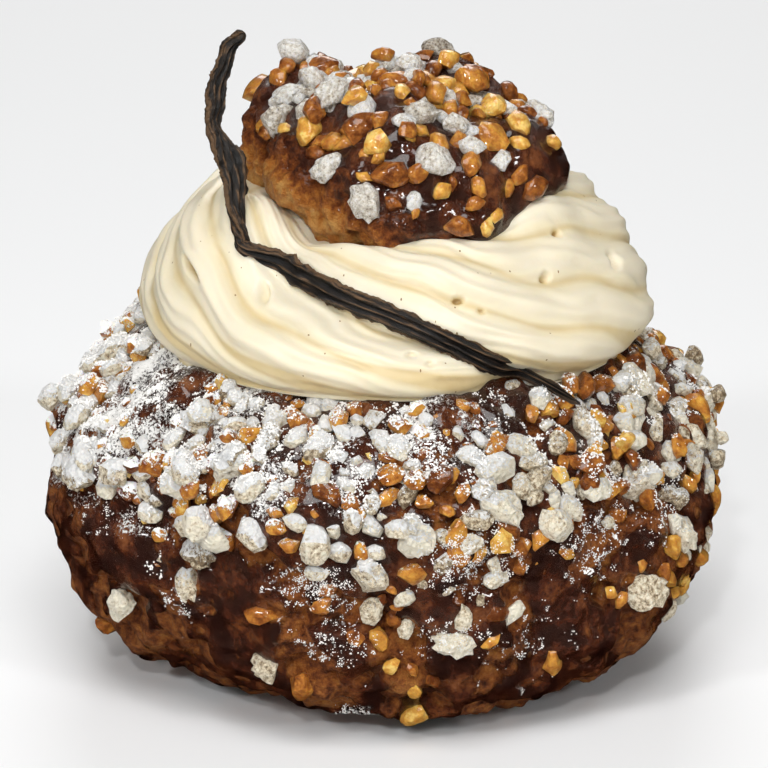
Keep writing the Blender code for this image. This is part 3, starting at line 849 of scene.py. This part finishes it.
CREASE_HEIGHTS = (
    (220, 0.0502), (228, 0.0488), (236, 0.0477), (252, 0.0460), (267, 0.0445), (281, 0.0422),
    (294, 0.0390), (310, 0.0358),
)  # fmt: skip
CREASE_SPAN = (208, 242, 296, 322)
CREASE_DEPTH, CREASE_HALF_WIDTH = 0.0022, 0.0027
BUBBLES = (  # their pits' angle, height, half length, half width, depth and slant
    (213, 0.0473, 0.0026, 0.00040, 0.0015, -16), (235, 0.0488, 0.0012, 0.0005, 0.0010, -60),
    (274, 0.0427, 0.0006, 0.0004, 0.0007, 0), (278, 0.0413, 0.0005, 0.0004, 0.0006, 0),
    (286, 0.0490, 0.0006, 0.0004, 0.0007, 10), (291, 0.0474, 0.0004, 0.0004, 0.0004, 0),
    (313, 0.0497, 0.0006, 0.0005, 0.0008, 0), (339, 0.0469, 0.0010, 0.0007, 0.0010, 30),
    (325, 0.0520, 0.0005, 0.0004, 0.0007, 0), (20, 0.0460, 0.0009, 0.0005, 0.0010, 40),
    (75, 0.0480, 0.0012, 0.0006, 0.0012, -30), (128, 0.0450, 0.0007, 0.0005, 0.0009, 10),
)  # fmt: skip
# Painted shade in the bubbles' pits: a pit this deep takes the cream's tint down by 1.
PIT_PAINTED_SHADE_OVER = 0.0017
CREAM_FOOT_SHADE_HEIGHTS = (0.0374, 0.0430)  # painted shade: it is darker and yellower below these
# Painted shade: how much darker the foot is painted, the darkest tint, and the tint off the ridges.
CREAM_FOOT_PAINTED_SHADE, CREAM_DARKEST, CREAM_INSIDE = 0.55, -0.05, 0.6
CREAM_SEGMENTS, CREAM_RINGS = 130, 45


def within(value, span):
    """1 in the middle of a span of (start, full, still full, end), easing to 0 outside it."""
    return smooth(value, span[0], span[1]) * (1 - smooth(value, span[2], span[3]))


def between(table, key):
    """Straight-line value from a table of (key, value) pairs."""
    for (low, first), (high, last) in zip(table, table[1:]):
        if key <= high:
            return first + (last - first) * (key - low) / (high - low)
    return table[-1][1]


def direction(points, share, step):
    """Which way the curve through the points runs at this share of it."""
    before, after = through(points, max(0.0, share - step)), through(points, min(1.0, share + step))
    return (after - before).normalized()


def bubbles(degrees, flat):
    """How deep the bubbles' pits are here."""
    depth = 0.0
    for middle, height, half_length, half_width, deepest, slant in BUBBLES:
        across = math.radians((degrees - middle + 180) % 360 - 180) * flat.x
        if abs(across) < 2 * half_length and abs(flat.y - height) < 2 * half_length:
            turn = math.radians(slant)
            along = (across * math.cos(turn) + (flat.y - height) * math.sin(turn)) / half_length
            beside = ((flat.y - height) * math.cos(turn) - across * math.sin(turn)) / half_width
            depth += deepest * math.exp(-((along * along + beside * beside) ** 2))
    return depth


def cream_skin(angle, share, fine=False):
    """A point of the cream. With `fine`, also its tint there, which is painted shade: 1 on a ridge
    and
    0 in a valley, and less at the foot and in a pit."""
    flat = through(CREAM_OUTLINE, share)
    along = direction(CREAM_OUTLINE, share, 0.002)
    out = Vector((along.y, -along.x))
    turned = math.cos(angle), math.sin(angle)
    degrees = math.degrees(angle) % 360
    dip = CREAM_RIM_DIP * within(degrees, CREAM_DIP_SPAN) * smooth(flat.y, *CREAM_DIP_HEIGHTS)
    level = CREAM_INSIDE
    if CREAM_RIDGED_FROM < share < CREAM_RIDGED_TO:
        spread = math.sin(math.pi * (share - CREAM_RIDGED_FROM) / CREAM_RIDGED_SPAN)
        climbed = RIDGES_UP * (share - CREAM_RIDGED_FROM) / CREAM_RIDGED_SPAN
        number = RIDGES * angle / math.tau + climbed
        rough = Vector((flat.x * turned[0], flat.x * turned[1], flat.y))
        if fine:
            number += RIDGE_WANDER * noise.noise(rough / WANDER_WIDTH)
        level = abs(math.sin(math.pi * number)) ** RIDGE_ROUNDNESS
        ridge = RIDGE_HEIGHT * (level - 0.5)
        if fine:
            ridge *= 1 + RIDGE_VARIES * noise.noise(rough / VARIES_WIDTH + Vector((5, 0, 0)))
            wave = FINE_WANDER * noise.noise(rough / FINE_WIDTH)
            ridge += FINE_RIDGE_HEIGHT * math.sin(2 * FINE_RIDGES * math.pi * number + wave)
            ridge += lumps(rough, CREAM_WAVES)
        gone = (flat.y - dip - between(CREASE_HEIGHTS, degrees)) / CREASE_HALF_WIDTH
        crease = CREASE_DEPTH * within(degrees, CREASE_SPAN) * math.exp(-gone * gone)
        pit = bubbles(degrees, flat) if fine else 0.0
        flat += out * (spread * (ridge + lumps(rough, CREAM_LUMPS)) - crease - pit)
        # Painted shade: the foot's tint is darkened, and the bubbles' pits are darker still.
        foot_painted_shade = CREAM_FOOT_PAINTED_SHADE * (1 - smooth(flat.y, *CREAM_FOOT_SHADE_HEIGHTS))
        level = max(level - foot_painted_shade, CREAM_DARKEST) - pit / PIT_PAINTED_SHADE_OVER
    point = Vector((CREAM_CENTRE_X + flat.x * turned[0], flat.x * turned[1], flat.y - dip))
    return (point, level) if fine else point


cream, places = ball("piped_cream", CREAM_SEGMENTS, CREAM_RINGS)
skin_points = [cream_skin(angle, share, fine=True) for angle, share in places]
move_vertices(cream, [point for point, _ in skin_points])
# The kept tint is painted shade: the cream is coloured darker in its valleys, at its foot and in
# its pits.
note(cream, "ridge", [level for _, level in skin_points])

SEED_SPACING, SEED_RADIUS, SEED_SHARE = 0.0013, 0.075, 0.50  # radius: in shares of the spacing
SEED_COLOUR = (0.26, 0.16, 0.065)
CREAM_CLOUDS, CREAM_SILK = 0.007, 0.0012
# Painted shade: the low stops darken the cream's valleys, foot and pits, and the high ones are its
# own ivory.
CREAM_TINTS_AND_PAINTED_SHADE = (
    (0.0, (0.36, 0.23, 0.08)), (0.14, (0.63, 0.50, 0.27)), (0.46, (0.745, 0.66, 0.465)),
    (1.0, (0.76, 0.69, 0.53)),
)  # fmt: skip
cream_finish, tree, shader = new_finish(
    "vanilla_cream",
    {
        "Roughness": 0.38,
        "Specular IOR Level": 0.4,
        "Subsurface Weight": 0.25,
        "Subsurface Scale": 1.0,
        "Subsurface Radius": (0.0022, 0.0015, 0.0008),
    },
)
where = on_object(tree)
# Painted shade: the tint darkens the cream's colour in its valleys, at its foot and in its pits.
tint = plus(tree, noted(tree, "ridge"), times(tree, speckle(tree, where, CREAM_CLOUDS, 3.0), 0.4))
ivory_with_painted_shade = colours_by(tree, tint, *CREAM_TINTS_AND_PAINTED_SHADE)
longer = {"Vector": where, "Rotation": (0.4, 0.5, 0.3), "Scale": (1, 1, 0.45)}
stretched = node(tree, "Mapping", None, longer).outputs["Vector"]
cells = {"Vector": stretched, "Scale": 1 / SEED_SPACING}
seeds = node(tree, "TexVoronoi", {"feature": "F1"}, cells)
is_seed = maths(tree, "LESS_THAN", seeds.outputs["Distance"], SEED_RADIUS)
lot = node(tree, "SeparateColor", None, {0: seeds.outputs["Color"]}).outputs[0]
is_seed = times(tree, is_seed, maths(tree, "GREATER_THAN", lot, SEED_SHARE))
feed(tree, shader["Base Color"], blend(tree, is_seed, ivory_with_painted_shade, SEED_COLOUR))
relief_on(tree, shader, speckle(tree, where, CREAM_SILK, 3.0), 0.0002, 0.25)
cream.data.materials.append(cream_finish)
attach(cream, "root")
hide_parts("cream")


# --- The cap ---
# A small choux puff with a second lobe, baked golden. Its top was dipped in the same caramel, which
# has run into dark pools, and pressed into sugar and nuts. The crust at the front left stayed bare.
CAP_CENTRE, CAP_RADII = (0.0026, -0.0030, 0.0560), (0.0160, 0.0138, 0.0086)
CAP_TILT = (14.0, 3.0)
CAP_LUMPS = ((0.0105, 0.0030, 11.3), (0.0048, 0.0011, 22.6))
LOBE_CENTRE, LOBE_RADII = (-0.0092, 0.0045, 0.0574), (0.0060, 0.0068, 0.0088)
LOBE_TILT = (-8.0, 16.0)
LOBE_LUMPS = ((0.0105, 0.0030, 5.2), (0.0048, 0.0011, 10.4))
CAP_PIECES, LOBE_PIECES = 36, 10
CAP_STRAY, CAP_SMALL_STRAY = 0.09, 0.4
CAP_TOPPED, CAP_BARE, CAP_BARE_ANGLE, LOBE_TOPPED = 0.58, 0.13, 228, 0.40
CAP_SMALL_PIECES = 380
CAP_SMALL_SIZES, CAP_SMALL_NUT_SHARE = (0.5, 0.95), 0.75
CAP_SECOND_LAYER, CAP_SECOND_SHARES = 60, (0.70, 1.0)
CAP_SECOND_SIZES, CAP_SECOND_NUT_SHARE = (0.6, 1.0), 0.7
CAP_SITES, CAP_GRAINS, LOBE_GRAINS, CAP_SMALL, CAP_SECOND = 5000, 8000, 7000, 60000, 80000
CAP_SEGMENTS, CAP_RINGS, LOBE_SEGMENTS, LOBE_RINGS = 40, 22, 24, 15
CAP_FINENESS = 0.0003
CAP_CRAGS = ((0.0034, 0.0011, 1.3), (0.0017, 0.0008, 2.9), (0.0009, 0.0003, 4.7))
CAP_GLAZE_PATCHES = ((0.0060, 0.9, 1.9), (0.0024, 0.7, 7.1))
CAP_GLAZED_OVER = 0.0044  # the height over which the caramel's cover grows from none to full
CAP_COVER_EDGE = (0.34, 0.74)
CAP_WELL_COVERED = 0.8
CAP_PIT_SPACING, CAP_PIT_DEPTH = 0.0034, 0.0005
CAP_GLAZE_FILLS, CAP_GLAZE_THICKNESS = 0.6, 0.0003
CAP_BROWNED_OVER = 0.0060  # how far below the caramel its brown edge fades to pale crust
CAP_BROWNED, CAP_PALER = -0.15, 0.26  # the edge's tone, and how much paler the crust gets
CAP_CRUST_ANGLE = 197  # where the caramel ends highest
CAP_GLAZE_TILT, CAP_GLAZE_DOWN = 0.72, 0.0066


def lobe_skin(centre, radii, tilt, lump_sizes):
    """skin(angle, share) of one lumpy, tilted lobe of choux."""
    over_x, over_y = (math.radians(degrees) for degrees in tilt)
    turn = Matrix.Rotation(over_y, 3, "Y") @ Matrix.Rotation(over_x, 3, "X")

    def skin(angle, share):
        rise = math.pi * (share - 0.5)
        level = math.cos(rise)
        way = Vector((level * math.cos(angle), level * math.sin(angle), math.sin(rise)))
        point = Vector(w * r for w, r in zip(way, radii))
        return turn @ (point + way * lumps(point, lump_sizes)) + Vector(centre)

    return skin


cap_skin = lobe_skin(CAP_CENTRE, CAP_RADII, CAP_TILT, CAP_LUMPS)
small_lobe_skin = lobe_skin(LOBE_CENTRE, LOBE_RADII, LOBE_TILT, LOBE_LUMPS)
small_lobe, places = ball("small_lobe", LOBE_SEGMENTS, LOBE_RINGS)
move_vertices(small_lobe, [small_lobe_skin(*place) for place in places])
cap, places = ball("choux_cap", CAP_SEGMENTS, CAP_RINGS)
move_vertices(cap, [cap_skin(*place) for place in places])
small_lobe.select_set(True)
cap.select_set(True)
bpy.context.view_layer.objects.active = cap
bpy.ops.object.join()
remesh = cap.modifiers.new("one_crust", "REMESH")
remesh.mode = "VOXEL"
remesh.voxel_size = CAP_FINENESS
remesh.use_smooth_shade = True
bpy.ops.object.modifier_apply(modifier=remesh.name)
smoothing = cap.modifiers.new("soft_joint", "SMOOTH")
smoothing.factor = 0.5
smoothing.iterations = 6
bpy.ops.object.modifier_apply(modifier=smoothing.name)

crust_angle = math.radians(CAP_CRUST_ANGLE)
bare_way = Vector((math.cos(crust_angle), math.sin(crust_angle), 0))


def above_caramel_edge(point):
    """How high a point of the cap is above the caramel's sloping edge."""
    flat = point - Vector(CAP_CENTRE)
    return flat.z - CAP_GLAZE_TILT * flat.dot(bare_way) + CAP_GLAZE_DOWN


def cap_cover(point):
    """From 0 on bare crust to 1 well inside the caramel."""
    level = 0.5 + above_caramel_edge(point) / CAP_GLAZED_OVER + lumps(point, CAP_GLAZE_PATCHES)
    return smooth(level, *CAP_COVER_EDGE)


covers, hollows, heights = [], [], []
for vert in cap.data.vertices:
    point = vert.co.copy()
    cover = cap_cover(point)
    hollow = pits(point, CAP_PIT_SPACING, CRUST_PIT_REACH) * (1 - cover)
    covers.append(cover)
    hollows.append(hollow)
    rough = lumps(point, CAP_CRAGS) * (1 - CAP_GLAZE_FILLS * cover) - CAP_PIT_DEPTH * hollow
    heights.append(rough + CAP_GLAZE_THICKNESS * cover)
push_out(cap, heights)
note(cap, "glaze", covers)
note(cap, "hollow", hollows)
below = [-above_caramel_edge(v.co) / CAP_BROWNED_OVER for v in cap.data.vertices]
note(cap, "paler", [CAP_PALER * smooth(share, 0.0, 1.0) + CAP_BROWNED for share in below])
cap.data.materials.clear()
CAP_CRUST = (
    (0.32, (0.050, 0.010, 0.004)), (0.44, (0.24, 0.060, 0.011)), (0.54, (0.48, 0.165, 0.026)),
    (0.68, (0.66, 0.34, 0.095)),
)  # fmt: skip
NO_DUST = -1.0
cap.data.materials.append(glazed_crust("glazed_cap_crust", NO_DUST, 0.1, CAP_CRUST))
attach(cap, "root")
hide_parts("cap_choux")


def cap_site(number, count):
    """(angle, share) of a piece on the cap's top. The crust at the front left stays bare."""
    draw = random.Random(CAP_SITES + number)
    angle = number * GOLDEN_ANGLE + draw.uniform(-CAP_STRAY, CAP_STRAY)
    topped = CAP_TOPPED - CAP_BARE * math.cos(angle - math.radians(CAP_BARE_ANGLE))
    return angle, 1 - topped * math.sqrt((number + 0.5) / count)


on_cap = []
for number in range(CAP_PIECES):
    stood = standing(cap_skin, *cap_site(number, CAP_PIECES))
    keep(set_grain(random.Random(CAP_GRAINS + number), *stood), on_cap)
for number in range(LOBE_PIECES):
    site = number * GOLDEN_ANGLE, 1 - LOBE_TOPPED * math.sqrt((number + 0.5) / LOBE_PIECES)
    stood = standing(small_lobe_skin, *site)
    keep(set_grain(random.Random(LOBE_GRAINS + number), *stood), on_cap)
for number in range(CAP_SMALL_PIECES):
    draw = random.Random(CAP_SMALL + number)
    angle, share = cap_site(number, CAP_SMALL_PIECES)
    angle += draw.uniform(-CAP_SMALL_STRAY, CAP_SMALL_STRAY)
    point, normal = standing(cap_skin, angle, share)
    if cap_cover(point) < CAP_WELL_COVERED:
        continue
    grain = set_grain(draw, point, normal, draw.uniform(*CAP_SMALL_SIZES), CAP_SMALL_NUT_SHARE)
    keep(grain, on_cap, MAY_TOUCH, SMALL_APART)

first_layer = landed(cap, on_cap)
for number in range(CAP_SECOND_LAYER):
    draw = random.Random(CAP_SECOND + number)
    skin = small_lobe_skin if number % 4 == 0 else cap_skin
    point, normal = standing(skin, draw.uniform(0, math.tau), draw.uniform(*CAP_SECOND_SHARES))
    hit, _, _, _ = first_layer.ray_cast(point + normal * 0.01, -normal)
    grain = set_grain(draw, hit, normal, draw.uniform(*CAP_SECOND_SIZES), CAP_SECOND_NUT_SHARE)
    keep(grain, on_cap, MAY_TOUCH)

wet_sugar = sugar_finish_of(
    "pearl_sugar_wet",
    {
        "Subsurface Weight": 0.5,
        "Subsurface Radius": (0.0012, 0.0011, 0.0009),
        "Subsurface Scale": 1.0,
        "Coat Weight": 0.15,
        "Coat Roughness": 0.08,
    },
    ((0.28, (0.24, 0.19, 0.14)), (0.42, (0.64, 0.58, 0.49)), (0.58, (0.97, 0.945, 0.89))),
    smoothest=0.05,
    dust_amount=NO_DUST,
)
wet_nuts = nut_finish_of("chopped_nuts_wet", NO_DUST)
topping_pieces("cap", on_cap, "cap_choux", wet_sugar, wet_nuts, sharp_angle=65)


# --- The vanilla pod ---
# A strip of split vanilla pod, dried to dark wrinkled leather with browner edges. It stands up
# beside the cap, folds once, and lies pressed into the crease of the cream down to the bun's
# shoulder.
POD_WIDTH, POD_THICKNESS = 0.0029, 0.0011
POD_STANDING = (  # the middle of the strip from its tip down to the cream's rim
    (-0.0147, -0.0055, 0.0709), (-0.0162, -0.0060, 0.0697), (-0.0170, -0.0070, 0.0677),
    (-0.0176, -0.0080, 0.0659), (-0.0178, -0.0090, 0.0639), (-0.0180, -0.0100, 0.0619),
    (-0.0171, -0.0108, 0.0599), (-0.0160, -0.0115, 0.0583), (-0.0157, -0.0124, 0.0562),
    (-0.0156, -0.0136, 0.0536), (-0.0151, -0.0150, 0.0514),
)  # fmt: skip
POD_LYING = (226, 302)
POD_LYING_STEPS = 10
POD_ABOVE_CREASE, POD_LIFT = 0.0008, 0.0004
POD_END = (0.0203, -0.0266, 0.0364)
POD_TURNS = (
    (0.0, 35), (0.14, 20), (0.26, 35), (0.34, -15), (0.42, 15), (0.5, 80), (0.56, 90), (1.0, 90),
)  # fmt: skip
POD_WIDTHS = (
    (0.0, 0.30), (0.04, 0.50), (0.16, 0.85), (0.24, 0.65), (0.32, 1.15), (0.42, 0.85), (0.48, 0.60),
    (0.58, 0.95), (0.90, 0.80), (1.0, 0.20),
)  # fmt: skip
POD_SIDES, POD_STATIONS = 12, 130
POD_WRINKLES = ((0.0030, 0.00020, 5.0), (0.0011, 0.00016, 9.0))
POD_RIBS, POD_RIB_HEIGHT, POD_RIB_WAVER = 3, 0.00032, 3.4  # down each face
POD_TEARS = ((60, 0.00045, 3), (210, 0.000225, 8))  # in its edges: how many, how deep, and seed


def cream_at(angle, height):
    """The point of the cream's outside that is at this angle and height."""
    low, high = CREAM_RIDGED_FROM, CREAM_RIM
    for _ in range(20):
        middle = (low + high) / 2
        low, high = (middle, high) if cream_skin(angle, middle).z < height else (low, middle)
    return cream_skin(angle, low)


pod_route = [Vector(p) for p in POD_STANDING]
for step in range(POD_LYING_STEPS):
    degrees = POD_LYING[0] + (POD_LYING[1] - POD_LYING[0]) * step / (POD_LYING_STEPS - 1)
    on_cream = cream_at(math.radians(degrees), between(CREASE_HEIGHTS, degrees) + POD_ABOVE_CREASE)
    from_middle = (on_cream - Vector((0, 0, on_cream.z - 0.006))).normalized()
    pod_route.append(on_cream + from_middle * POD_LIFT)
pod_route.append(Vector(POD_END))


def pod_skin(share):
    """(middle, wide half, thick half) of the strip at a share of its length."""
    middle = through(pod_route, share)
    along = direction(pod_route, share, 0.01)
    out = middle - Vector((CREAM_CENTRE_X, 0, 0))
    out.z = 0
    out = (out - along * out.dot(along)).normalized()
    turn = math.radians(between(POD_TURNS, share) - 90)
    wide = along.cross(out) * math.cos(turn) + out * math.sin(turn)
    width_share = between(POD_WIDTHS, share)
    half_thickness = POD_THICKNESS / 2 * min(1.0, 0.5 + width_share / 2)
    return middle, wide * POD_WIDTH / 2 * width_share, along.cross(wide) * half_thickness


pod, places = ball("split_vanilla_pod", POD_SIDES, POD_STATIONS)
pod_points, brown_edges_and_rib_sheen = [], []
for angle, share in places:
    share = 1 - share
    middle, wide, thick = pod_skin(share)
    closing = min(1.0, 8 * math.sqrt(max(0.0, share * (1 - share))))
    across, over = math.cos(angle), math.sin(angle)
    flatter = math.copysign(abs(over) ** 0.5, over)
    torn = abs(across) ** 3 * sum(
        depth * noise.noise(Vector((share * often, 2 * across, seed)))
        for often, depth, seed in POD_TEARS
    )
    point = middle + (wide * across * (1 + torn / wide.length) + thick * flatter) * closing
    waver = POD_RIB_WAVER * noise.noise(Vector((share * 13, 0.6 * across, over)))
    rib = math.cos(POD_RIBS * math.pi * across + waver)
    uneven = 0.8 + 1.3 * noise.noise(Vector((share * 16, across, 5)))
    raised = POD_RIB_HEIGHT * rib * uneven
    raised += lumps(Vector((share * 0.05, across * 0.002, over * 0.01)), POD_WRINKLES)
    point += thick.normalized() * (math.copysign(1, over) * raised * abs(flatter) * closing)
    pod_points.append(point)
    # Browner at the edges, which is the pod's own colour, and along the crests of the ribs, which
    # is a painted sheen.
    brown_edges_and_rib_sheen.append(max(abs(across) ** 6, 0.7 * smooth(rib, 0.5, 1.0)))
move_vertices(pod, pod_points)
note(pod, "edge", brown_edges_and_rib_sheen)

POD_SHINE = {"Specular IOR Level": 0.35, "Coat Roughness": 0.3}
POD_BROWNS = (
    (0.46, (0.006, 0.005, 0.004)), (0.60, (0.018, 0.012, 0.008)), (0.74, (0.13, 0.072, 0.034)),
)  # fmt: skip
pod_finish, tree, shader = new_finish("vanilla_pod_skin", POD_SHINE)
lengthwise = {"Vector": node(tree, "TexCoord").outputs["UV"], "Scale": (22, 26, 1)}
streaks = node(tree, "Mapping", None, lengthwise).outputs["Vector"]
fibres = speckle(tree, streaks, 1.0, 6.0, 0.65)
# The edge note carries both the browner edges and the painted sheen on the ribs.
brown = plus(tree, times(tree, noted(tree, "edge"), 0.26), fibres)
feed(tree, shader["Base Color"], colours_by(tree, brown, *POD_BROWNS))
feed(tree, shader["Roughness"], plus(tree, 0.28, times(tree, fibres, 0.35)))
relief_on(tree, shader, fibres, 0.0004, 0.9)
pod.data.materials.append(pod_finish)
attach(pod, "root")
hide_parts("vanilla_pod")
